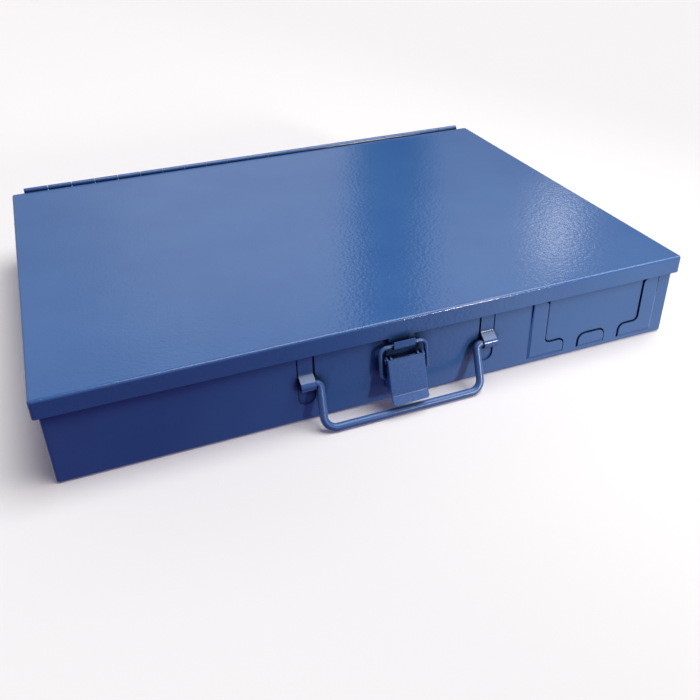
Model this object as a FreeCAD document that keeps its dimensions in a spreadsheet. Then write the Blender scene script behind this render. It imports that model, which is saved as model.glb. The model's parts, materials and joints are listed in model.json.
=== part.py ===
"""Sheet-steel assortment case with a piano-hinged lid, a wire carry handle and a draw latch.

Frame: millimetres, +Z up, +X along the front to the right, +Y towards the hinge.
The origin is the centre of the tray's underside.
"""
import FreeCAD, Part
import math
import os
import Sketcher
from FreeCAD import Vector

doc = FreeCAD.newDocument("assortment_case")

# ---------------------------------------------------------------- driving dimensions
DIMENSIONS = {
    "case_width": 330.0,          # lid, outside
    "lid_top_height": 47.0,       # lid's top face above the table
    "lip_height": 9.4,            # the lid's turned-down lip
    "gauge": 0.8,                 # sheet thickness of every pressed piece
    "tray_width": 325.0,
    "tray_depth": 238.0,
    "tray_height": 45.9,
    "front_gap": 2.0,             # lid's front face to the tray's front face
    "corner_radius": 1.6,         # outside radius of folded corners
    "hinge_relief_depth": 0.9,    # the rear wall stops this far below the other walls
    "knuckle_radius": 1.8,
    "knuckle_pitch": 15.0,
    "knuckle_count": 21,
    "knuckle_play": 0.15,         # gap at each end of a knuckle
    "hinge_pin_radius": 0.95,
    "hinge_bore_radius": 1.0,
    "leaf_height": 18.0,          # how far each hinge leaf reaches from the barrel
    "handle_wire_radius": 2.0,
    "handle_reach": 22.76,        # pivot to bar
    "handle_half": 41.5,          # half width between the legs
    "handle_end_half": 50.5,      # half width over the turned-out ends
    "handle_slide": -0.5,         # how far the wire has slid in its tabs
    "handle_rack": -1.5,          # how far the bar stands to the right of the ends' middle
    "handle_corner_radius": 6.0,
    "handle_elbow_radius": 2.1,
    "handle_pivot_forward": 0.3,  # pivot line in front of the lid's front face
    "handle_pivot_height": 22.3,
    "handle_lean": 26.9,          # degrees out from vertical with the bar on the table
    "fittings_centre": 2.0,       # middle of the latch and the tabs, from the case's middle
    "tab_offset": 48.0,           # each tab's middle, from the fittings' middle
    "tab_width": 7.2,
    "tab_slit_inner": 1.1,        # beside a tab, on the latch's side
    "tab_slit_outer": 0.6,
    "tab_window_bottom": 9.4,
    "tab_root_height": 40.0,
    "tab_bend_height": 27.0,
    "tab_clearance": 0.08,
    "reinforcement_half": 54.8,   # half width of the plate behind the tabs and the latch
    "reinforcement_low": 6.0,
    "reinforcement_high": 41.0,
    "label_centre": 114.9,
    "label_width": 79.2,          # over the raised area that holds a card
    "label_bottom": 3.2,
    "label_top": 42.0,
    "label_raise": 0.6,           # how far the card retainers stand out of the wall
    "label_slope": 1.5,           # width of the sloping border of the raised area
    "label_slit": 0.9,
    "strip_edge": 29.6,           # the side strips' free edges, from the label's centre
    "ear_end": 18.0,              # the bottom ears' free ends
    "ear_height": 11.1,           # top of the ears and of the centre tongue
    "tongue_half": 7.9,
    "lever_width": 19.4,
    "lever_pin_radius": 1.0,
    "lever_lip_chamfer": 1.2,
    "lever_fold_radius": 0.7,
    "loop_wire_radius": 1.05,
    "loop_half_width": 11.9,
    "loop_corner_radius": 3.2,
    "loop_elbow_radius": 1.8,
    "anchor_low": 8.6,            # the latch base plate's lower and upper edges
    "anchor_high": 30.4,
    "hook_width": 11.0,
    "hook_tongue_width": 13.4,
    "rivet_radius": 1.5,
}

sheet = doc.addObject("Spreadsheet::Sheet", "dims")
for row, (alias, value) in enumerate(DIMENSIONS.items(), start=1):
    sheet.set("A%d" % row, alias)
    sheet.set("B%d" % row, str(value))
    sheet.setAlias("B%d" % row, alias)
doc.recompute()


def dim(alias):
    """A driving dimension's number."""
    return float(getattr(sheet, alias))


# ---------------------------------------------------------------- derived places
GAUGE = dim("gauge")
TRAY_FRONT = -dim("tray_depth") / 2
TRAY_REAR = dim("tray_depth") / 2
LID_FRONT = TRAY_FRONT - dim("front_gap")
LID_UNDERSIDE = dim("lid_top_height") - GAUGE
LIP_BOTTOM = dim("lid_top_height") - dim("lip_height")
# The barrel stands just behind the rear wall's outer face, and the lid's leaf runs in under it.
BARREL_Y = TRAY_REAR + dim("knuckle_radius")
BARREL_Z = LID_UNDERSIDE - GAUGE + dim("knuckle_radius")
LID_REAR = BARREL_Y - dim("knuckle_radius") - 0.2
FITTINGS_X = dim("fittings_centre")
HANDLE_PIVOT = Vector(
    FITTINGS_X + dim("handle_slide"),
    LID_FRONT - dim("handle_pivot_forward"),
    dim("handle_pivot_height"),
)
# Latch: hook trough, loop pivot and lever pivot, seen from the side as (y, z).
HOOK_CENTRE = (LID_FRONT - 1.6, 34.4)
HOOK_INNER_RADIUS = 1.6
HOOK_TIP = 37.0
LOOP_BAR = (LID_FRONT - 1.6, 33.86)
LOOP_PIVOT = (LID_FRONT - 3.8, 19.0)
LEVER_PIVOT = (LID_FRONT - 3.1, 27.0)
LEVER_TOP = (LID_FRONT - 5.3, 28.9)
LEVER_BEND = (LID_FRONT - 10.5, 11.4)
LEVER_TIP = (LID_FRONT - 13.1, 7.7)
EAR_HALF = 7.4                    # outside half width over the base plate's ears
RIVET_HEIGHTS = (12.4, 18.6)


# ---------------------------------------------------------------- outline helpers
def rounded_path(points, radii, closed=False):
    """Lines and tangent arcs through 2-D points; radii has one radius for every point."""
    count = len(points)
    starts = []
    ends = []
    arcs = []
    for i, point in enumerate(points):
        corner = Vector(point[0], point[1], 0)
        is_end = not closed and i in (0, count - 1)
        if is_end or radii[i] <= 0:
            starts.append(corner)
            ends.append(corner)
            arcs.append(None)
            continue
        before = points[i - 1]
        after = points[(i + 1) % count]
        u = (Vector(before[0], before[1], 0) - corner).normalize()
        v = (Vector(after[0], after[1], 0) - corner).normalize()
        half = math.acos(max(-1.0, min(1.0, u.dot(v)))) / 2
        reach = radii[i] / math.tan(half)
        middle = (u + v).normalize()
        start = corner + u * reach
        end = corner + v * reach
        crown = corner + middle * (radii[i] / math.sin(half) - radii[i])
        starts.append(start)
        ends.append(end)
        arcs.append(Part.Arc(start, crown, end))
    edges = []
    for i in range(count):
        if arcs[i] is not None:
            edges.append(arcs[i])
        if i == count - 1 and not closed:
            break
        following = (i + 1) % count
        if (starts[following] - ends[i]).Length > 1e-6:
            edges.append(Part.LineSegment(ends[i], starts[following]))
    return edges


def offset_line(points, distance):
    """A 2-D polyline moved sideways (to its left when positive), with mitred corners."""
    normals = []
    for a, b in zip(points, points[1:]):
        run = Vector(b[0] - a[0], b[1] - a[1], 0).normalize()
        normals.append(Vector(-run.y, run.x, 0))
    moved = []
    for i, point in enumerate(points):
        near = normals[max(i - 1, 0)]
        far = normals[min(i, len(normals) - 1)]
        mitre = (near + far).normalize()
        step = mitre * (distance / mitre.dot(near))
        moved.append((point[0] + step.x, point[1] + step.y))
    return moved


def folded_strip(points, bend_radius):
    """The closed outline of a sheet one gauge thick along a centreline, with rounded bends."""
    left = offset_line(points, GAUGE / 2)
    right = offset_line(points, -GAUGE / 2)
    left_radii = [0.0]
    right_radii = [0.0]
    for before, corner, after in zip(points, points[1:], points[2:]):
        turn = (corner[0] - before[0]) * (after[1] - corner[1])
        turn -= (corner[1] - before[1]) * (after[0] - corner[0])
        inner = bend_radius - GAUGE / 2
        outer = bend_radius + GAUGE / 2
        left_radii.append(inner if turn > 0 else outer)
        right_radii.append(outer if turn > 0 else inner)
    left_radii.append(0.0)
    right_radii.append(0.0)
    return rounded_path(left + right[::-1], left_radii + right_radii[::-1], closed=True)


# ---------------------------------------------------------------- document helpers
def new_body(name):
    return doc.addObject("PartDesign::Body", name)


def origin_plane(body, role):
    return next(f for f in body.Origin.OriginFeatures if f.Role == role)


def new_sketch(body, name, role, geometry, offset=0.0):
    """A sketch on one of the body's own origin planes, moved along the plane's normal."""
    sketch = body.newObject("Sketcher::SketchObject", name)
    sketch.AttachmentSupport = [(origin_plane(body, role), "")]
    sketch.MapMode = "FlatFace"
    sketch.AttachmentOffset = FreeCAD.Placement(Vector(0, 0, offset), FreeCAD.Rotation())
    sketch.addGeometry(geometry, False)
    return sketch


def rectangle_sketch(body, name, width, depth, centre_y=0.0):
    """A rectangle on the XY plane, centred on X, with its size bound to the sheet."""
    half = 10.0
    corners = [(-half, -half), (half, -half), (half, half), (-half, half)]
    sketch = new_sketch(body, name, "XY_Plane", rounded_path(corners, [0] * 4, closed=True))
    for i in range(4):
        sketch.addConstraint(Sketcher.Constraint("Coincident", i, 2, (i + 1) % 4, 1))
    for i, direction in enumerate(("Horizontal", "Vertical", "Horizontal", "Vertical")):
        sketch.addConstraint(Sketcher.Constraint(direction, i))
    names = ("half_width", "front", "width", "depth")
    sketch.addConstraint(Sketcher.Constraint("DistanceX", -1, 1, 1, 1, half))
    sketch.addConstraint(Sketcher.Constraint("DistanceY", 0, 1, -1, 1, half))
    sketch.addConstraint(Sketcher.Constraint("DistanceX", 0, 1, 0, 2, 2 * half))
    sketch.addConstraint(Sketcher.Constraint("DistanceY", 1, 1, 1, 2, 2 * half))
    first = sketch.ConstraintCount - 4
    for i, constraint_name in enumerate(names):
        sketch.renameConstraint(first + i, constraint_name)
    sketch.setExpression("Constraints.half_width", "(%s) / 2" % width)
    sketch.setExpression("Constraints.width", width)
    sketch.setExpression("Constraints.depth", depth)
    sketch.setExpression("Constraints.front", "(%s) / 2 - (%s)" % (depth, centre_y))
    return sketch


def pad(body, name, sketch, length, midplane=False):
    """Pads a sketch by an expression."""
    feature = body.newObject("PartDesign::Pad", name)
    feature.Profile = sketch
    feature.setExpression("Length", length)
    feature.SideType = "Symmetric" if midplane else "One side"
    return feature


def fillet_edges(body, name, base, radius, wanted):
    """Rounds the edges of a feature that a test on the edge picks."""
    doc.recompute()
    picked = [
        "Edge%d" % (i + 1) for i, edge in enumerate(base.Shape.Edges) if wanted(edge)
    ]
    feature = body.newObject("PartDesign::Fillet", name)
    feature.Base = (base, picked)
    feature.setExpression("Radius", radius)
    return feature


def box(name, low, high):
    """A Part::Box between two corners."""
    feature = doc.addObject("Part::Box", name)
    feature.Length = high[0] - low[0]
    feature.Width = high[1] - low[1]
    feature.Height = high[2] - low[2]
    feature.Placement.Base = Vector(*low)
    return feature


def cylinder(name, radius, length, start, axis):
    """A Part::Cylinder from a start point along an axis, its radius bound to the sheet."""
    feature = doc.addObject("Part::Cylinder", name)
    feature.setExpression("Radius", radius)
    feature.Height = length
    feature.Placement = FreeCAD.Placement(start, FreeCAD.Rotation(Vector(0, 0, 1), axis))
    return feature


def cut(name, base, tool):
    feature = doc.addObject("Part::Cut", name)
    feature.Base = base
    feature.Tool = tool
    return feature


def fuse(name, shapes):
    feature = doc.addObject("Part::MultiFuse", name)
    feature.Shapes = shapes
    feature.Refine = True
    return feature


def solid(name, shape):
    """A Part::Feature for an outline that no primitive gives."""
    feature = doc.addObject("Part::Feature", name)
    feature.Shape = shape
    return feature


def is_upright(edge):
    bounds = edge.BoundBox
    return bounds.ZLength > 1 and bounds.XLength < 1e-6 and bounds.YLength < 1e-6


def at_height(height):
    def test(edge):
        return abs(edge.BoundBox.ZMin - height) < 1e-6 and edge.BoundBox.ZLength < 1e-6
    return test


# ---------------------------------------------------------------- tray
def tray_shell():
    """The folded tray without its pressed details."""
    body = new_body("tray_shell")
    outline = rectangle_sketch(body, "tray_outline", "dims.tray_width", "dims.tray_depth")
    block = pad(body, "tray_block", outline, "dims.tray_height")
    corners = fillet_edges(body, "tray_corners", block, "dims.corner_radius", is_upright)
    folds = fillet_edges(body, "tray_folds", corners, "dims.corner_radius", at_height(0.0))
    opening = rectangle_sketch(
        body,
        "tray_opening",
        "dims.tray_width - 2 * dims.gauge",
        "dims.tray_depth - 2 * dims.gauge",
    )
    opening.setExpression(".AttachmentOffset.Base.z", "dims.gauge")
    doc.recompute()
    hollow = body.newObject("PartDesign::Pocket", "tray_hollow")
    hollow.Profile = opening
    hollow.Reversed = True
    hollow.setExpression("Length", "dims.tray_height")
    doc.recompute()
    inside = dim("corner_radius") - GAUGE
    half_x = dim("tray_width") / 2 - GAUGE
    half_y = dim("tray_depth") / 2 - GAUGE

    def inner_upright(edge):
        place = edge.CenterOfMass
        near = abs(abs(place.x) - half_x) < 0.01 and abs(abs(place.y) - half_y) < 0.01
        return is_upright(edge) and near

    uprights = fillet_edges(
        body, "inner_corners", hollow, "dims.corner_radius - dims.gauge", inner_upright
    )
    doc.recompute()

    def inner_floor(edge):
        flat = at_height(GAUGE)(edge)
        centre = edge.CenterOfMass
        reach = max(abs(centre.x) / half_x, abs(centre.y) / half_y)
        return flat and reach > 1 - inside / half_y
    fillet_edges(
        body, "inner_folds", uprights, "dims.corner_radius - dims.gauge - 0.02", inner_floor
    )
    return body


def handle_tab(name, tab_x):
    """A tongue lanced from the front wall and curled round the end of the handle's wire."""
    mid = TRAY_FRONT + GAUGE / 2
    inner = dim("handle_wire_radius") + dim("tab_clearance")
    ring = inner + GAUGE / 2
    centre = Vector(HANDLE_PIVOT.y, HANDLE_PIVOT.z, 0)
    bend = Vector(mid, dim("tab_bend_height"), 0)
    away = bend - centre
    bearing = math.atan2(away.y, away.x)
    first = bearing + math.acos(ring / away.Length)
    last = math.radians(300)

    def rim(radius, angle):
        return centre + Vector(math.cos(angle), math.sin(angle), 0) * radius

    touch = rim(ring, first)
    line = [(mid, dim("tab_root_height")), (bend.x, bend.y), (touch.x, touch.y)]
    front = offset_line(line, -GAUGE / 2)
    rear = offset_line(line, GAUGE / 2)
    halfway = (first + last) / 2
    outer = inner + GAUGE
    edges = rounded_path(front, [0, 1.4, 0])
    edges.append(Part.Arc(rim(outer, first), rim(outer, halfway), rim(outer, last)))
    edges.append(Part.LineSegment(rim(outer, last), rim(inner, last)))
    edges.append(Part.Arc(rim(inner, last), rim(inner, halfway), rim(inner, first)))
    edges += rounded_path(rear[::-1], [0, 0.6, 0])
    edges.append(Part.LineSegment(Vector(*rear[0], 0), Vector(*front[0], 0)))
    body = new_body(name)
    outline = new_sketch(body, name + "_outline", "YZ_Plane", edges, offset=tab_x)
    pad(body, name + "_pad", outline, "dims.tab_width", midplane=True)
    return body


def tab_window(name, tab_x, inward):
    """The round-ended opening that the tongue was lanced from; inward points to the latch."""
    half = (dim("tab_width") + dim("tab_slit_inner") + dim("tab_slit_outer")) / 2
    middle = tab_x + inward * (dim("tab_slit_inner") - dim("tab_slit_outer")) / 2
    arc_height = dim("tab_window_bottom") + half
    slot = box(
        name + "_slot",
        (middle - half, TRAY_FRONT - 1, arc_height),
        (middle + half, TRAY_FRONT + GAUGE + 1, dim("tab_root_height")),
    )
    round_end = cylinder(
        name + "_end",
        "(dims.tab_width + dims.tab_slit_inner + dims.tab_slit_outer) / 2",
        GAUGE + 2,
        Vector(middle, TRAY_FRONT - 1, arc_height),
        Vector(0, 1, 0),
    )
    return fuse(name, [slot, round_end])


def wedge(name, low, high, inset, front, back):
    """A flat-topped raised area: full size at the back plane, inset all round at the front."""
    feature = doc.addObject("Part::Wedge", name)
    feature.Xmin = low[0]
    feature.Xmax = high[0]
    feature.Zmin = low[1]
    feature.Zmax = high[1]
    feature.X2min = low[0] + inset
    feature.X2max = high[0] - inset
    feature.Z2min = low[1] + inset
    feature.Z2max = high[1] - inset
    feature.Ymin = 0
    feature.Ymax = back - front
    # A wedge narrows along +Y, so it is turned half round to narrow towards the front.
    feature.Placement = FreeCAD.Placement(
        Vector(low[0] + high[0], back, 0), FreeCAD.Rotation(Vector(0, 0, 1), 180)
    )
    return feature


def label_outline(slit, flare):
    """The card window between the retainers, as (x, z): shrunk by a slit, flared at the top."""
    side = dim("strip_edge") - slit
    ear = dim("ear_end") - slit
    tongue = dim("tongue_half") + slit
    shelf = dim("ear_height") + slit
    low = dim("label_bottom")
    top = dim("label_top")
    flare_height = LIP_BOTTOM - 1.1
    right = [
        (tongue, shelf),
        (tongue, low),
        (ear, low),
        (ear, shelf),
        (side, shelf),
        (side, flare_height),
        (side + flare, flare_height),
        (side + flare, top),
    ]
    radii = [3.5 + slit, 0, 0, 3.0 + slit, 3.2 - slit, 2.4, 0, 0]
    if flare == 0:
        right = right[:5] + right[7:]
        radii = radii[:5] + radii[7:]
    left = [(-x, z) for x, z in reversed(right)]
    centre = dim("label_centre")
    points = [(centre + x, z) for x, z in right + left]
    return rounded_path(points, radii + radii[::-1], closed=True)


def outer_shear(name, side):
    """The tapering cut that frees the top of a side strip from the wall beside it."""
    edge = dim("label_centre") + side * dim("label_width") / 2
    top = dim("label_top") - 2
    points = [
        (edge - side * 0.2, top),
        (edge - side * 1.1, top),
        (edge - side * 1.1, LIP_BOTTOM - 2),
        (edge - side * 0.6, 24.0),
        (edge - side * 0.5, 24.0),
    ]
    outline = rounded_path(points, [0] * 5, closed=True)
    return upright_plate(name, outline, TRAY_FRONT - 3, TRAY_FRONT + GAUGE + 1)


def upright_plate(name, edges, front, back):
    """A plate cut to an outline given as (x, z) and standing between two y planes."""
    wire = Part.Wire([edge.toShape() for edge in edges])
    face = Part.Face(wire)
    face.rotate(Vector(0, 0, 0), Vector(1, 0, 0), 90)
    face.translate(Vector(0, back, 0))
    return solid(name, face.extrude(Vector(0, front - back, 0)))


def build_tray():
    shell = tray_shell()
    low = (dim("label_centre") - dim("label_width") / 2, dim("label_bottom"))
    high = (dim("label_centre") + dim("label_width") / 2, dim("label_top"))
    wall_back = TRAY_FRONT + GAUGE
    raised_front = TRAY_FRONT - dim("label_raise")
    relief_half = dim("tray_width") / 2 - 3
    left_tab = FITTINGS_X - dim("tab_offset")
    right_tab = FITTINGS_X + dim("tab_offset")
    openings = [
        tab_window("left_tab_window", left_tab, 1),
        tab_window("right_tab_window", right_tab, -1),
        box(
            "label_area",
            (low[0], TRAY_FRONT - 1, low[1]),
            (high[0], wall_back + 1, high[1]),
        ),
        box(
            "hinge_relief",
            (-relief_half, TRAY_REAR - 2, dim("tray_height") - dim("hinge_relief_depth")),
            (relief_half, TRAY_REAR + 2, dim("tray_height") + 2),
        ),
    ]
    openings += rivet_holes("wall_rivet_hole")
    pierced = cut("pierced_tray", shell, fuse("front_openings", openings))
    slope = dim("label_slope")
    outer = wedge("retainer_outside", low, high, slope, raised_front, TRAY_FRONT)
    back_skirt = box("retainer_edge", (low[0], TRAY_FRONT, low[1]), (high[0], wall_back, high[1]))
    inner_low = (low[0] + GAUGE, low[1] + GAUGE)
    inner_high = (high[0] - GAUGE, high[1] - GAUGE)
    inner = wedge(
        "retainer_inside", inner_low, inner_high, slope - 0.3, raised_front + GAUGE, wall_back
    )
    retainers = cut("retainer_pan", fuse("retainer_block", [outer, back_skirt]), inner)
    window = upright_plate("card_window", label_outline(0.0, 2.3), raised_front - 1, wall_back + 1)
    shears = [outer_shear("left_shear", -1), outer_shear("right_shear", 1)]
    trimmed = cut("card_retainers", retainers, fuse("retainer_cuts", [window] + shears))
    plate = upright_plate(
        "card_plate", label_outline(dim("label_slit"), 0.0), TRAY_FRONT, wall_back
    )
    tabs = [
        handle_tab("left_handle_tab", left_tab),
        handle_tab("right_handle_tab", right_tab),
    ]
    return fuse("base_tray", [pierced, trimmed, plate] + tabs)


def rivet_holes(name):
    """Cutting cylinders for the latch's rivets, long enough for every sheet there."""
    return [
        cylinder(
            "%s_%d" % (name, i),
            "dims.rivet_radius",
            6,
            Vector(FITTINGS_X, TRAY_FRONT - 3, height),
            Vector(0, 1, 0),
        )
        for i, height in enumerate(RIVET_HEIGHTS)
    ]


def build_reinforcement():
    """The plate behind the front wall that stiffens it at the handle's tabs and the latch."""
    half = dim("reinforcement_half")
    low = dim("reinforcement_low")
    high = dim("reinforcement_high")
    corners = [
        (FITTINGS_X - half, low),
        (FITTINGS_X + half, low),
        (FITTINGS_X + half, high),
        (FITTINGS_X - half, high),
    ]
    outline = rounded_path(corners, [2.0] * 4, closed=True)
    front = TRAY_FRONT + GAUGE
    blank = upright_plate("reinforcement_blank", outline, front, front + GAUGE)
    return cut("front_reinforcement", blank, fuse("reinforcement_holes", rivet_holes("inner_hole")))


# ---------------------------------------------------------------- lid
def build_lid():
    body = new_body("lid_shell")
    centre = "(%r)" % ((LID_FRONT + LID_REAR) / 2)
    depth = "(%r)" % (LID_REAR - LID_FRONT)
    outline = rectangle_sketch(body, "lid_outline", "dims.case_width", depth, centre)
    outline.setExpression(".AttachmentOffset.Base.z", "dims.lid_top_height - dims.lip_height")
    block = pad(body, "lid_block", outline, "dims.lip_height")
    corners = fillet_edges(body, "lid_corners", block, "dims.corner_radius", is_upright)
    top = dim("lid_top_height")

    def folded_top(edge):
        return at_height(top)(edge) and edge.BoundBox.YMin < LID_REAR - 0.01

    folds = fillet_edges(body, "lid_folds", corners, "dims.corner_radius - 0.2", folded_top)
    hollow_depth = "(%r)" % (LID_REAR - LID_FRONT + 10)
    hollow_centre = "(%r)" % ((LID_FRONT + GAUGE + LID_REAR + 10 + GAUGE) / 2)
    opening = rectangle_sketch(
        body, "lid_opening", "dims.case_width - 2 * dims.gauge", hollow_depth, hollow_centre
    )
    opening.setExpression(".AttachmentOffset.Base.z", "dims.lid_top_height - dims.gauge")
    doc.recompute()
    hollow = body.newObject("PartDesign::Pocket", "lid_hollow")
    hollow.Profile = opening
    hollow.setExpression("Length", "dims.lip_height")
    doc.recompute()
    return body


def hook_outline(top):
    """The latch tongue's section: down in the lip's plane, then forward and up round the loop."""
    outer = HOOK_INNER_RADIUS + GAUGE
    y, z = HOOK_CENTRE
    return [
        Part.LineSegment(Vector(y + outer, top, 0), Vector(y + outer, z, 0)),
        Part.Arc(Vector(y + outer, z, 0), Vector(y, z - outer, 0), Vector(y - outer, z, 0)),
        Part.LineSegment(Vector(y - outer, z, 0), Vector(y - outer, HOOK_TIP, 0)),
        Part.LineSegment(Vector(y - outer, HOOK_TIP, 0), Vector(y - outer + GAUGE, HOOK_TIP, 0)),
        Part.LineSegment(Vector(y - outer + GAUGE, HOOK_TIP, 0), Vector(y - outer + GAUGE, z, 0)),
        Part.Arc(
            Vector(y - outer + GAUGE, z, 0),
            Vector(y, z - HOOK_INNER_RADIUS, 0),
            Vector(y + HOOK_INNER_RADIUS, z, 0),
        ),
        Part.LineSegment(Vector(y + HOOK_INNER_RADIUS, z, 0), Vector(y + HOOK_INNER_RADIUS, top, 0)),
        Part.LineSegment(Vector(y + HOOK_INNER_RADIUS, top, 0), Vector(y + outer, top, 0)),
    ]


def build_lid_with_hook():
    shell = build_lid()
    hook = new_body("latch_hook")
    top = LIP_BOTTOM + 0.5            # how far the tongue runs up into the lip
    outline = new_sketch(hook, "hook_outline", "YZ_Plane", hook_outline(top), offset=FITTINGS_X)
    pad(hook, "hook_pad", outline, "dims.hook_width", midplane=True)
    tongue = new_body("hook_tongue")
    z = HOOK_CENTRE[1] + 0.6
    corners = [
        (LID_FRONT, top),
        (LID_FRONT, z),
        (LID_FRONT + GAUGE, z),
        (LID_FRONT + GAUGE, top),
    ]
    section = new_sketch(
        tongue,
        "tongue_outline",
        "YZ_Plane",
        rounded_path(corners, [0] * 4, closed=True),
        offset=FITTINGS_X,
    )
    pad(tongue, "tongue_pad", section, "dims.hook_tongue_width", midplane=True)
    return fuse("lid_panel", [shell, hook, tongue])


# ---------------------------------------------------------------- hinge
def hinge_leaf(name, plate_points, strip_points, first_knuckle, knuckles):
    """One leaf of the piano hinge: a plate, and knuckles rolled round the pin at every other pitch."""
    body = new_body(name)
    length = dim("knuckle_pitch") * dim("knuckle_count")
    plate = new_sketch(
        body, name + "_plate", "YZ_Plane", rounded_path(plate_points, [0] * 4, closed=True)
    )
    pad(body, name + "_plate_pad", plate, "dims.knuckle_pitch * dims.knuckle_count", midplane=True)
    offset = -length / 2 + (first_knuckle + 0.5) * dim("knuckle_pitch")
    strip = new_sketch(
        body, name + "_strip", "YZ_Plane", rounded_path(strip_points, [0] * 4, closed=True), offset
    )
    width = "dims.knuckle_pitch - 2 * dims.knuckle_play"
    strip_pad = pad(body, name + "_strip_pad", strip, width, midplane=True)
    middle = Vector(BARREL_Y, BARREL_Z, 0)
    rings = [
        Part.Circle(middle, Vector(0, 0, 1), dim("knuckle_radius")),
        Part.Circle(middle, Vector(0, 0, 1), dim("hinge_bore_radius")),
    ]
    barrel = new_sketch(body, name + "_barrel", "YZ_Plane", rings, offset)
    barrel_pad = pad(body, name + "_barrel_pad", barrel, width, midplane=True)
    doc.recompute()
    pattern = body.newObject("PartDesign::LinearPattern", name + "_knuckles")
    pattern.Originals = [strip_pad, barrel_pad]
    pattern.Direction = (origin_axis(body), [""])
    pattern.Occurrences = knuckles
    pattern.Length = 2 * dim("knuckle_pitch") * (knuckles - 1)
    body.Tip = pattern
    return body


def origin_axis(body):
    return next(f for f in body.Origin.OriginFeatures if f.Role == "X_Axis")


def build_hinge():
    radius = dim("knuckle_radius")
    count = int(dim("knuckle_count"))
    shoulder = radius + 0.8
    outer = BARREL_Y - radius
    tray_plate = [
        (outer, BARREL_Z - dim("leaf_height") - shoulder),
        (outer + GAUGE, BARREL_Z - dim("leaf_height") - shoulder),
        (outer + GAUGE, BARREL_Z - shoulder),
        (outer, BARREL_Z - shoulder),
    ]
    tray_strip = [
        (outer, BARREL_Z - shoulder - 1),
        (outer + GAUGE, BARREL_Z - shoulder - 1),
        (outer + GAUGE, BARREL_Z),
        (outer, BARREL_Z),
    ]
    base_leaf = hinge_leaf("hinge_leaf_base", tray_plate, tray_strip, 0, (count + 1) // 2)
    under = BARREL_Z - radius
    lid_plate = [
        (BARREL_Y - dim("leaf_height") - shoulder, under),
        (BARREL_Y - shoulder, under),
        (BARREL_Y - shoulder, under + GAUGE),
        (BARREL_Y - dim("leaf_height") - shoulder, under + GAUGE),
    ]
    lid_strip = [
        (BARREL_Y - shoulder - 1, under),
        (BARREL_Y, under),
        (BARREL_Y, under + GAUGE),
        (BARREL_Y - shoulder - 1, under + GAUGE),
    ]
    lid_leaf = hinge_leaf("hinge_leaf_lid", lid_plate, lid_strip, 1, count // 2)
    length = dim("knuckle_pitch") * count
    pin = cylinder(
        "hinge_pin",
        "dims.hinge_pin_radius",
        length,
        Vector(-length / 2, BARREL_Y, BARREL_Z),
        Vector(1, 0, 0),
    )
    return [base_leaf, lid_leaf, pin]


# ---------------------------------------------------------------- bent wires
def wire_body(name, points, radii, radius, placement):
    """A round wire along a flat bent path drawn on the body's XZ plane."""
    body = new_body(name)
    path = new_sketch(body, name + "_path", "XZ_Plane", rounded_path(points, radii))
    start_x, start_z = points[0]
    ring = Part.Circle(Vector(0, start_z, 0), Vector(0, 0, 1), radius)
    section = new_sketch(body, name + "_section", "YZ_Plane", [ring], offset=start_x)
    doc.recompute()
    pipe = body.newObject("PartDesign::AdditivePipe", name + "_pipe")
    pipe.Profile = section
    pipe.Spine = path
    body.Placement = placement
    return body


def build_handle():
    reach = dim("handle_reach")
    half = dim("handle_half")
    end = dim("handle_end_half")
    rack = dim("handle_rack")
    points = [
        (-end, 0),
        (-half, 0),
        (rack - half, -reach),
        (rack + half, -reach),
        (half, 0),
        (end, 0),
    ]
    elbow = dim("handle_elbow_radius")
    corner = dim("handle_corner_radius")
    radii = [0, elbow, corner, corner, elbow, 0]
    lean = FreeCAD.Rotation(Vector(1, 0, 0), -dim("handle_lean"))
    placement = FreeCAD.Placement(HANDLE_PIVOT, lean)
    return wire_body("carry_handle", points, radii, dim("handle_wire_radius"), placement)


def build_loop():
    run = Vector(0, LOOP_BAR[0] - LOOP_PIVOT[0], LOOP_BAR[1] - LOOP_PIVOT[1])
    half = dim("loop_half_width")
    inner = dim("lever_width") / 2 - GAUGE - 0.7
    height = run.Length
    points = [(-inner, 0), (-half, 0), (-half, height), (half, height), (half, 0), (inner, 0)]
    elbow = dim("loop_elbow_radius")
    corner = dim("loop_corner_radius")
    radii = [0, elbow, corner, corner, elbow, 0]
    tilt = FreeCAD.Rotation(Vector(0, 0, 1), run)
    placement = FreeCAD.Placement(Vector(FITTINGS_X, *LOOP_PIVOT), tilt)
    return wire_body("latch_loop", points, radii, dim("loop_wire_radius"), placement)


# ---------------------------------------------------------------- latch
def side_plate(name, outline, low_x):
    """A flange or ear one gauge thick, cut to an outline given as (y, z)."""
    body = new_body(name)
    sketch = new_sketch(body, name + "_outline", "YZ_Plane", outline, offset=low_x)
    pad(body, name + "_pad", sketch, "dims.gauge")
    return body


def side_plates(name, corners, radii, half):
    """A matching pair of side plates, their outer faces half a width from the latch's middle."""
    return [
        side_plate(
            "%s_%s" % (side, name),
            rounded_path(corners, radii, closed=True),
            FITTINGS_X + low_x,
        )
        for side, low_x in (("left", -half), ("right", half - GAUGE))
    ]


def cross_hole(name, radius, place):
    """A cutting cylinder right across the latch."""
    reach = dim("lever_width")
    start = Vector(FITTINGS_X - reach, *place)
    return cylinder(name, radius, 2 * reach, start, Vector(1, 0, 0))


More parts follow.
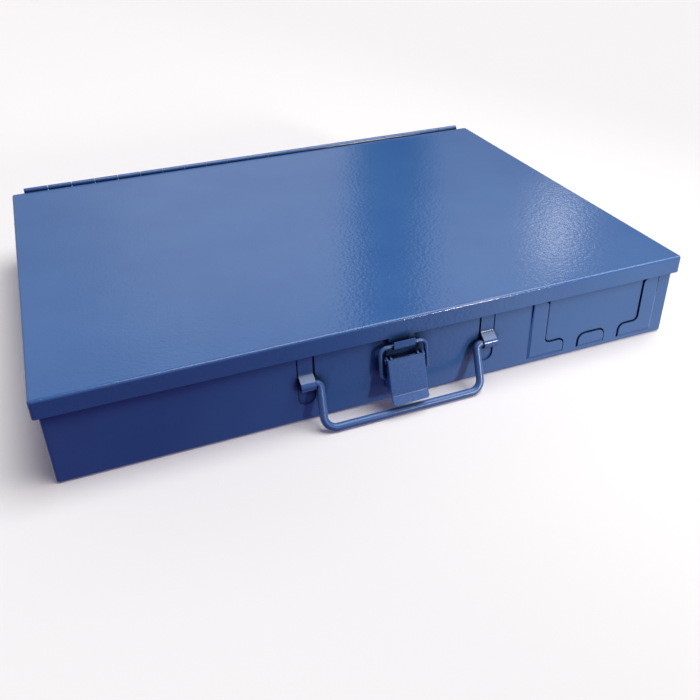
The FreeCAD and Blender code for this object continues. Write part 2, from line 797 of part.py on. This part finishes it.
def build_base_plate():
    """The channel that is riveted to the wall and carries the lever between its ears."""
    plate = box(
        "anchor_plate",
        (FITTINGS_X - EAR_HALF, TRAY_FRONT - GAUGE, dim("anchor_low")),
        (FITTINGS_X + EAR_HALF, TRAY_FRONT, dim("anchor_high")),
    )
    y, z = LEVER_PIVOT
    eye = 2.1                         # the ear's reach round the pin
    corners = [
        (TRAY_FRONT, z - 4.6),
        (y + eye, z - 3.6),
        (y + eye, z + eye),
        (y - eye, z + eye),
        (y - eye, z - 3.0),
        (TRAY_FRONT, z - 12.0),
    ]
    radii = [0, 0.8, eye - 0.05, eye - 0.05, 1.6, 0]
    channel = fuse("anchor_channel", [plate] + side_plates("ear", corners, radii, EAR_HALF))
    holes = [cross_hole("ear_holes", "dims.lever_pin_radius", LEVER_PIVOT)]
    holes += rivet_holes("plate_rivet_hole")
    return cut("latch_base_plate", channel, fuse("anchor_holes", holes))


def build_lever():
    """A channel-section lever that ends in a turned-out finger lip."""
    web = new_body("lever_web")
    outline = folded_strip([LEVER_TOP, LEVER_BEND, LEVER_TIP], 1.4)
    sketch = new_sketch(web, "web_outline", "YZ_Plane", outline, offset=FITTINGS_X)
    web_pad = pad(web, "web_pad", sketch, "dims.lever_width", midplane=True)
    doc.recompute()
    half = dim("lever_width") / 2

    def lip_corner(edge):
        place = edge.CenterOfMass
        through = edge.BoundBox.XLength < 1e-6 and edge.Length < GAUGE * 1.1
        outermost = abs(abs(place.x - FITTINGS_X) - half) < 0.01
        return through and outermost and place.z < LEVER_TIP[1] + 1

    chamfer = web.newObject("PartDesign::Chamfer", "lip_corners")
    picked = ["Edge%d" % (i + 1) for i, edge in enumerate(web_pad.Shape.Edges) if lip_corner(edge)]
    chamfer.Base = (web_pad, picked)
    chamfer.setExpression("Size", "dims.lever_lip_chamfer")
    y, z = LEVER_PIVOT
    flange = [
        LEVER_TOP,
        (y + 2.7, z + 2.9),
        (y + 2.2, LOOP_PIVOT[1] - 2.7),
        (LEVER_BEND[0] + 0.3, LEVER_BEND[1] + 1.2),
    ]
    flanges = side_plates("flange", flange, [0, 2.6, 2.3, 0], half)
    holes = [
        cross_hole("lever_pin_holes", "dims.lever_pin_radius + 0.05", LEVER_PIVOT),
        cross_hole("loop_holes", "dims.loop_wire_radius + 0.06", LOOP_PIVOT),
    ]
    channel = fuse("lever_channel", [web] + flanges)
    doc.recompute()
    middle_y = (LEVER_TOP[0] + LEVER_BEND[0]) / 2
    fold = dim("lever_fold_radius")
    rounded = doc.addObject("Part::Fillet", "lever_folds")
    rounded.Base = channel
    rounded.Edges = [
        (i + 1, fold, fold)
        for i, edge in enumerate(channel.Shape.Edges)
        if edge.Length > 10 and edge.CenterOfMass.y < middle_y and edge.BoundBox.XLength < 1e-6
    ]
    return cut("latch_lever", rounded, fuse("lever_holes", holes))


def build_lever_pin():
    half = dim("lever_width") / 2
    radius = "dims.lever_pin_radius"
    across = Vector(1, 0, 0)
    start = Vector(FITTINGS_X - half - 0.5, *LEVER_PIVOT)
    shank = cylinder("pin_shank", radius, 2 * half + 1.0, start, across)
    heads = []
    for name, side in (("pin_head_left", -1), ("pin_head_right", 1)):
        face = Vector(FITTINGS_X + side * (half + 0.1), *LEVER_PIVOT)
        heads.append(cylinder(name, radius + " + 0.7", 0.5, face, across * side))
    return fuse("lever_pivot_pin", [shank] + heads)


def build_rivets():
    """The rivets that hold the latch's base plate to the front wall and its reinforcement."""
    rivets = []
    dome_radius = 2.9
    dome_start = 40                   # degrees above the dome's own equator
    lift = dome_radius * math.sin(math.radians(dome_start))
    head_plane = TRAY_FRONT - GAUGE
    tail_plane = TRAY_FRONT + 2 * GAUGE
    inward = Vector(0, 1, 0)
    for i, height in enumerate(RIVET_HEIGHTS):
        start = Vector(FITTINGS_X, head_plane, height)
        shank = cylinder("rivet_shank_%d" % i, "dims.rivet_radius", 3 * GAUGE, start, inward)
        dome = doc.addObject("Part::Sphere", "rivet_dome_%d" % i)
        dome.Radius = dome_radius
        dome.Angle1 = dome_start
        dome.Angle2 = 90
        dome.Placement = FreeCAD.Placement(
            Vector(FITTINGS_X, head_plane + lift, height),
            FreeCAD.Rotation(Vector(0, 0, 1), Vector(0, -1, 0)),
        )
        end = Vector(FITTINGS_X, tail_plane, height)
        tail = cylinder("rivet_tail_%d" % i, "dims.rivet_radius + 0.8", 0.7, end, inward)
        rivets.append(fuse("rivet_%d" % i, [shank, dome, tail]))
    group = doc.addObject("Part::Compound", "latch_rivets")
    group.Links = rivets
    return group


# ---------------------------------------------------------------- build, check and write
pieces = [build_tray(), build_reinforcement(), build_lid_with_hook()]
pieces += build_hinge()
pieces += [build_handle(), build_base_plate(), build_lever(), build_loop()]
pieces += [build_lever_pin(), build_rivets()]
doc.recompute()

for item in doc.Objects:
    if "Invalid" in item.State or "Error" in item.State:
        raise RuntimeError("%s failed: %s" % (item.Name, item.State))

os.makedirs("parts", exist_ok=True)
for piece in pieces:
    shape = piece.Shape
    if shape.isNull() or not shape.isValid():
        raise RuntimeError("%s has no valid shape" % piece.Label)
    bounds = shape.BoundBox
    print(
        "%-18s %8.1f mm3  %d solid(s)  x %.1f..%.1f  y %.1f..%.1f  z %.1f..%.1f"
        % (
            piece.Label,
            shape.Volume,
            len(shape.Solids),
            bounds.XMin,
            bounds.XMax,
            bounds.YMin,
            bounds.YMax,
            bounds.ZMin,
            bounds.ZMax,
        )
    )
    shape.exportStep("parts/%s.step" % piece.Label)
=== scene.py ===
"""Blue enamelled sheet-steel assortment case: its paint, soft studio light and camera.

Everything is in metres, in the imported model's frame: +X along the front, +Y to the hinge, +Z up.
"""
import json
import math
import bpy
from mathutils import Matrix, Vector

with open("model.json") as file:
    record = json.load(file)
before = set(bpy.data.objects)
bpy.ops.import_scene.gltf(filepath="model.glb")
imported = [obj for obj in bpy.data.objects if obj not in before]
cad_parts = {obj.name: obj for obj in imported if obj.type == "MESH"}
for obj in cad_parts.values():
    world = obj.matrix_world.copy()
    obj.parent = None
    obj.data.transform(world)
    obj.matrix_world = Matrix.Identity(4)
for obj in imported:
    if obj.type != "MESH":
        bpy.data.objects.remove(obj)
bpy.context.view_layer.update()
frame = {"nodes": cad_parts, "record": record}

NODES = frame["nodes"]
MM = 0.001

# ---------------------------------------------------------------- colours and finish
ENAMEL_BLUE = (0.050, 0.152, 0.405, 1.0)
ENAMEL_DEEP = (0.044, 0.138, 0.385, 1.0)
ENAMEL_PAINTED_SHADE = (0.012, 0.030, 0.085, 1.0)  # painted shade: the blue darkened where two sheets meet
CREVICE_DEPTH = 6 * MM
CREVICE_RANGE = (0.58, 0.96)     # shares of open sky from deep in a crevice to free of it
PAINTED_SHADE_GLOSS = (0.2, 0.5)       # specular level at those two ends, a painted shade on the gloss
FLOOR_BAND = (8 * MM, 14 * MM)   # heights over which crevices begin, clear of the floor
ENAMEL_IOR = 1.5
CLOUDS_PER_METRE = 22.0          # broad patches of slightly deeper blue
FINE_PER_METRE = 900.0           # the roughness's grain
PEEL_PER_METRE = 560.0
PEEL_HEIGHT = 0.05 * MM
CLOUD_RANGE = (0.35, 0.65)       # noise values that stand for the two blues
NOISE_RANGE = (0.3, 0.7)         # where most of a noise's values fall
ROUGHNESS_DIP = 0.02             # how far the grain takes the roughness down and up
ROUGHNESS_RISE = 0.04
STEEL = (0.52, 0.53, 0.55, 1.0)
STEEL_LINE = (0.40, 0.41, 0.43, 1.0)
STEEL_STRETCH = (40.0, 2500.0, 2500.0)  # lines to the metre along and across the drawn wire
STEEL_LINE_HEIGHT = 0.01 * MM
STEEL_ROUGHNESS = (0.28, 0.42)
FLOOR_WHITE = (0.96, 0.97, 0.965, 1.0)


# ---------------------------------------------------------------- node helpers
def new_material(name):
    """A node material holding one Principled shader; returns it with its tree and shader."""
    material = bpy.data.materials.new(name)
    material.use_nodes = True
    tree = material.node_tree
    shader = tree.nodes["Principled BSDF"]
    return material, tree, shader


def noise(tree, coordinates, scale, detail=2.0):
    """Noise with about `scale` blobs to the metre."""
    node = tree.nodes.new("ShaderNodeTexNoise")
    node.inputs["Scale"].default_value = scale
    node.inputs["Detail"].default_value = detail
    node.inputs["Roughness"].default_value = 0.5
    tree.links.new(coordinates, node.inputs["Vector"])
    return node.outputs["Fac"]


def remap(tree, value, low, high, to_low, to_high, smooth=False):
    """Carries a value from one range to another, held at the ends."""
    node = tree.nodes.new("ShaderNodeMapRange")
    node.interpolation_type = "SMOOTHSTEP" if smooth else "LINEAR"
    node.inputs["From Min"].default_value = low
    node.inputs["From Max"].default_value = high
    node.inputs["To Min"].default_value = to_low
    node.inputs["To Max"].default_value = to_high
    tree.links.new(value, node.inputs["Value"])
    return node.outputs["Result"]


def math_node(tree, operation, first, second=None):
    """One math node whose inputs are numbers or sockets."""
    node = tree.nodes.new("ShaderNodeMath")
    node.operation = operation
    for socket, value in zip(node.inputs, (first, second)):
        if isinstance(value, (int, float)):
            socket.default_value = value
        elif value is not None:
            tree.links.new(value, socket)
    return node.outputs["Value"]


def mix_colours(tree, factor, first, second):
    """The first colour where the factor is 0, the second where it is 1."""
    node = tree.nodes.new("ShaderNodeMix")
    node.data_type = "RGBA"
    tree.links.new(factor, node.inputs["Factor"])
    colour_sockets = [socket for socket in node.inputs if socket.type == "RGBA"]
    for socket, value in zip(colour_sockets, (first, second)):
        if isinstance(value, tuple):
            socket.default_value = value
        else:
            tree.links.new(value, socket)
    return next(socket for socket in node.outputs if socket.type == "RGBA")


def grey(tree, value):
    """A colour with the same value in all three channels."""
    node = tree.nodes.new("ShaderNodeCombineColor")
    for socket in node.inputs[:3]:
        tree.links.new(value, socket)
    return node.outputs["Color"]


def bump(tree, shader, height, distance):
    """Lifts the shader's surface by up to `distance` where the height is 1."""
    node = tree.nodes.new("ShaderNodeBump")
    node.inputs["Strength"].default_value = 1.0
    node.inputs["Distance"].default_value = distance
    tree.links.new(height, node.inputs["Height"])
    tree.links.new(node.outputs["Normal"], shader.inputs["Normal"])


# ---------------------------------------------------------------- materials
def painted_shade_openness(tree, place):
    """Painted-shade mask: 1 on open paint, 0 deep between two sheets, always 1 beside the floor."""
    crevice = tree.nodes.new("ShaderNodeAmbientOcclusion")
    crevice.samples = 8
    crevice.inputs["Distance"].default_value = CREVICE_DEPTH
    height = tree.nodes.new("ShaderNodeSeparateXYZ")
    tree.links.new(place, height.inputs["Vector"])
    near_floor = remap(tree, height.outputs["Z"], *FLOOR_BAND, 1.0, 0.0)
    openness = remap(tree, crevice.outputs["AO"], *CREVICE_RANGE, 0.0, 1.0)
    return math_node(tree, "MAXIMUM", openness, near_floor)


def enamel(name, peel, roughness):
    """Sprayed blue enamel on sheet steel, stoved, with fine orange peel and painted shade in
    crevices.
    """
    material, tree, shader = new_material(name)
    place = tree.nodes.new("ShaderNodeTexCoord").outputs["Object"]
    clouds = remap(tree, noise(tree, place, CLOUDS_PER_METRE, 3.0), *CLOUD_RANGE, 0.0, 1.0)
    colour = mix_colours(tree, clouds, ENAMEL_BLUE, ENAMEL_DEEP)
    # painted shade: the blue turns darker and its gloss drops deep between sheets
    openness = painted_shade_openness(tree, place)
    colour = mix_colours(tree, openness, ENAMEL_PAINTED_SHADE, colour)
    tree.links.new(colour, shader.inputs["Base Color"])
    level = remap(tree, openness, 0.0, 1.0, *PAINTED_SHADE_GLOSS)
    tree.links.new(level, shader.inputs["Specular IOR Level"])
    grain = noise(tree, place, FINE_PER_METRE)
    smoothest, roughest = roughness - ROUGHNESS_DIP, roughness + ROUGHNESS_RISE
    rough = remap(tree, grain, *NOISE_RANGE, smoothest, roughest)
    tree.links.new(rough, shader.inputs["Roughness"])
    shader.inputs["IOR"].default_value = ENAMEL_IOR
    bump(tree, shader, noise(tree, place, PEEL_PER_METRE, 1.0), PEEL_HEIGHT * peel)
    return material


def drawn_steel():
    """The bare hinge pin: bright drawn wire."""
    material, tree, shader = new_material("bare_steel")
    place = tree.nodes.new("ShaderNodeTexCoord").outputs["Object"]
    stretch = tree.nodes.new("ShaderNodeMapping")
    stretch.inputs["Scale"].default_value = STEEL_STRETCH
    tree.links.new(place, stretch.inputs["Vector"])
    lines = noise(tree, stretch.outputs["Vector"], 1.0)
    shade = mix_colours(tree, lines, STEEL, STEEL_LINE)
    tree.links.new(shade, shader.inputs["Base Color"])
    rough = remap(tree, lines, *NOISE_RANGE, *STEEL_ROUGHNESS)
    tree.links.new(rough, shader.inputs["Roughness"])
    shader.inputs["Metallic"].default_value = 1.0
    bump(tree, shader, lines, STEEL_LINE_HEIGHT)
    return material


def floor_paint():
    """Matt near-white paint."""
    material, _, shader = new_material("pale_floor")
    shader.inputs["Base Color"].default_value = FLOOR_WHITE
    shader.inputs["Roughness"].default_value = 0.9
    shader.inputs["Specular IOR Level"].default_value = 0.1
    return material


# Each slot's orange peel and roughness.
ENAMELS = {
    "tray_enamel": (1.0, 0.20),
    "lid_enamel": (1.4, 0.12),
    "hinge_enamel": (0.7, 0.15),
    "handle_enamel": (0.6, 0.28),
    "latch_enamel": (0.6, 0.26),
}
MATERIALS = {slot: enamel(slot, *finish) for slot, finish in ENAMELS.items()}
MATERIALS["bare_steel"] = drawn_steel()
SLOT_OF = {part["node"]: part["material_slot"] for part in frame["record"]["subparts"]}
for node, slot_name in SLOT_OF.items():
    if not NODES[node].data.materials:
        NODES[node].data.materials.append(None)
    for material_slot in NODES[node].material_slots:
        material_slot.material = MATERIALS[slot_name]


# ---------------------------------------------------------------- floor, world and lights
FLOOR_HALF = 20.0
FLOOR_DROP = 0.05 * MM      # keeps the floor from sharing a plane with the case's underside


def make_floor():
    """A plain floor that catches shadows, and that the case doesn't mirror."""
    mesh = bpy.data.meshes.new("floor")
    corners = [(FLOOR_HALF * x, FLOOR_HALF * y, 0) for x, y in ((-1, -1), (1, -1), (1, 1), (-1, 1))]
    mesh.from_pydata(corners, [], [(0, 1, 2, 3)])
    mesh.materials.append(floor_paint())
    floor = bpy.data.objects.new("floor", mesh)
    bpy.context.scene.collection.objects.link(floor)
    floor.location.z = -FLOOR_DROP
    floor.visible_glossy = False
    floor.visible_diffuse = False


# The white wall behind the table, left and right of an unlit gap: two heights in degrees above the
# horizon, then the light at each.
LEFT_WALL = (20.0, 29.0, 0.58, 0.95)
RIGHT_WALL = (19.0, 28.0, 0.30, 0.93)
WALL_TOP = (30.0, 45.0)     # heights over which the wall gives way to the ceiling
GAP = (20.2, 22.0, 25.8, 28.0)  # azimuths of the gap, from +Y towards +X
LEFT_END = (-3.0, 7.0, 0.62)    # azimuths over which the left wall's end fades, and to what
RIGHT_END = (31.0, 42.0, 0.50)  # the same for the right wall
HIGH = 0.16                 # the dim ceiling
FRONT = (0.25, 0.17, 0.22, 1.0)  # the room in front of the table
TABLE_DARK = (0.11, 0.03, 0.20, 1.0)  # what the front wall mirrors to the left and to the right
TABLE_LIGHT = (0.95, 0.95, 0.95, 1.0)
TABLE_EDGE = (21.0, 35.0)   # azimuths over which the table turns light
TABLE_DEPTHS = (-54.0, -44.0, -18.0, -8.0)  # heights between which it is light
LAMP = (36.8, 24.4)         # azimuth and height of a soft lamp that the lid mirrors
LAMP_WIDTH = 1.5
LAMP_LIGHT = 4.3
FRONT_BLEND = (-0.25, 0.1)  # world Y over which the front room gives way to the back
HORIZON_BLEND = (-0.02, 0.02)
TABLE_BEHIND = (0.6, 0.6, 0.6, 1.0)


def studio_world():
    """A room whose light depends only on direction: pale wall behind, dim ceiling, table below."""
    world = bpy.data.worlds.new("studio")
    bpy.context.scene.world = world
    world.use_nodes = True
    tree = world.node_tree
    background = tree.nodes["Background"]
    direction = tree.nodes.new("ShaderNodeTexCoord").outputs["Generated"]
    split = tree.nodes.new("ShaderNodeSeparateXYZ")
    tree.links.new(direction, split.inputs["Vector"])
    x, y, z = split.outputs
    degrees = math.degrees(1)
    azimuth = math_node(tree, "MULTIPLY", math_node(tree, "ARCTAN2", x, y), degrees)
    height = math_node(tree, "MULTIPLY", math_node(tree, "ARCSINE", z), degrees)
    forward = math_node(tree, "MULTIPLY", y, -1.0)
    front_azimuth = math_node(tree, "MULTIPLY", math_node(tree, "ARCTAN2", x, forward), degrees)
    before_gap = remap(tree, azimuth, *GAP[:2], 1.0, 0.0, True)
    past_gap = remap(tree, azimuth, *GAP[2:], 0.0, 1.0, True)
    left = math_node(tree, "MULTIPLY", remap(tree, height, *LEFT_WALL), before_gap)
    left_end = remap(tree, azimuth, *LEFT_END, 1.0, True)
    left = math_node(tree, "MULTIPLY", left, left_end)
    right = math_node(tree, "MULTIPLY", remap(tree, height, *RIGHT_WALL), past_gap)
    right_end = remap(tree, azimuth, *RIGHT_END[:2], 1.0, RIGHT_END[2], True)
    right = math_node(tree, "MULTIPLY", right, right_end)
    below_top = remap(tree, height, *WALL_TOP, 1.0, 0.0, True)
    wall = math_node(tree, "MULTIPLY", math_node(tree, "ADD", left, right), below_top)
    ceiling = remap(tree, height, *WALL_TOP, 0.0, HIGH, True)
    away = math_node(
        tree,
        "ADD",
        math_node(tree, "POWER", math_node(tree, "SUBTRACT", azimuth, LAMP[0]), 2.0),
        math_node(tree, "POWER", math_node(tree, "SUBTRACT", height, LAMP[1]), 2.0),
    )
    glow = math_node(tree, "EXPONENT", math_node(tree, "MULTIPLY", away, -1 / LAMP_WIDTH**2))
    lamp = math_node(tree, "MULTIPLY", glow, LAMP_LIGHT)
    behind = math_node(tree, "ADD", math_node(tree, "ADD", wall, lamp), ceiling)
    in_front = remap(tree, y, *FRONT_BLEND, 1.0, 0.0, True)
    upper = mix_colours(tree, in_front, grey(tree, behind), FRONT)
    to_right = remap(tree, front_azimuth, *TABLE_EDGE, 0.0, 1.0, True)
    above = remap(tree, height, *TABLE_DEPTHS[:2], 0.0, 1.0, True)
    below = remap(tree, height, *TABLE_DEPTHS[2:], 1.0, 0.0, True)
    lit = math_node(tree, "MULTIPLY", to_right, math_node(tree, "MULTIPLY", above, below))
    table = mix_colours(tree, lit, TABLE_DARK, TABLE_LIGHT)
    lower = mix_colours(tree, in_front, TABLE_BEHIND, table)
    under = remap(tree, z, *HORIZON_BLEND, 1.0, 0.0, True)
    colour = mix_colours(tree, under, upper, lower)
    tree.links.new(colour, background.inputs["Color"])
    background.inputs["Strength"].default_value = 1.0


def aim(light, target):
    """Points a light at a place."""
    light.rotation_euler = (Vector(target) - light.location).to_track_quat("-Z", "Y").to_euler()


def add_light(name, kind, place, target, energy):
    """A light of one kind at a place, aimed at a target."""
    data = bpy.data.lights.new(name, kind)
    data.energy = energy
    light = bpy.data.objects.new(name, data)
    light.location = place
    bpy.context.scene.collection.objects.link(light)
    aim(light, target)
    return light


OVERHEAD_PLACE = (1.14, -0.17, 2.76)    # only its direction matters
OVERHEAD_ENERGY = 2.45
OVERHEAD_SPREAD = 48.0
SIDE_PLACE = (0.62, -1.25, 0.30)
SIDE_TARGET = (0.205, -0.119, 0.02)     # on the front wall, right of the latch
SIDE_ENERGY = 51.0
SIDE_COLOUR = (1.0, 0.90, 0.74)
SIDE_CONE = 19.0
SIDE_BLEND = 0.38
SIDE_RADIUS = 0.10


def make_lights():
    """A wide overhead softbox, and a warm lamp at the front right that fades out by the latch."""
    overhead = add_light("overhead_softbox", "SUN", OVERHEAD_PLACE, (0, 0, 0), OVERHEAD_ENERGY)
    overhead.data.angle = math.radians(OVERHEAD_SPREAD)
    side = add_light("front_right_lamp", "SPOT", SIDE_PLACE, SIDE_TARGET, SIDE_ENERGY)
    side.data.color = SIDE_COLOUR
    side.data.spot_size = math.radians(SIDE_CONE)
    side.data.spot_blend = SIDE_BLEND
    side.data.shadow_soft_size = SIDE_RADIUS


CAMERA_PLACE = (-0.1322, -0.4084, 0.2393)
CAMERA_TURN = (58.218, 1.131, -21.325)  # degrees
CAMERA_LENS = 40.675
CAMERA_SENSOR = 36.0
CAMERA_SHIFT = -0.0336
CAMERA_CLIP = (0.02, 30.0)


def make_camera():
    """Above the front left, looking down across the lid."""
    data = bpy.data.cameras.new("camera")
    data.sensor_width = CAMERA_SENSOR
    data.lens = CAMERA_LENS
    data.shift_y = CAMERA_SHIFT
    data.clip_start, data.clip_end = CAMERA_CLIP
    camera = bpy.data.objects.new("camera", data)
    camera.location = CAMERA_PLACE
    camera.rotation_euler = [math.radians(angle) for angle in CAMERA_TURN]
    bpy.context.scene.collection.objects.link(camera)
    bpy.context.scene.camera = camera


make_floor()
studio_world()
make_lights()
make_camera()
bpy.context.scene.view_settings.view_transform = "Standard"
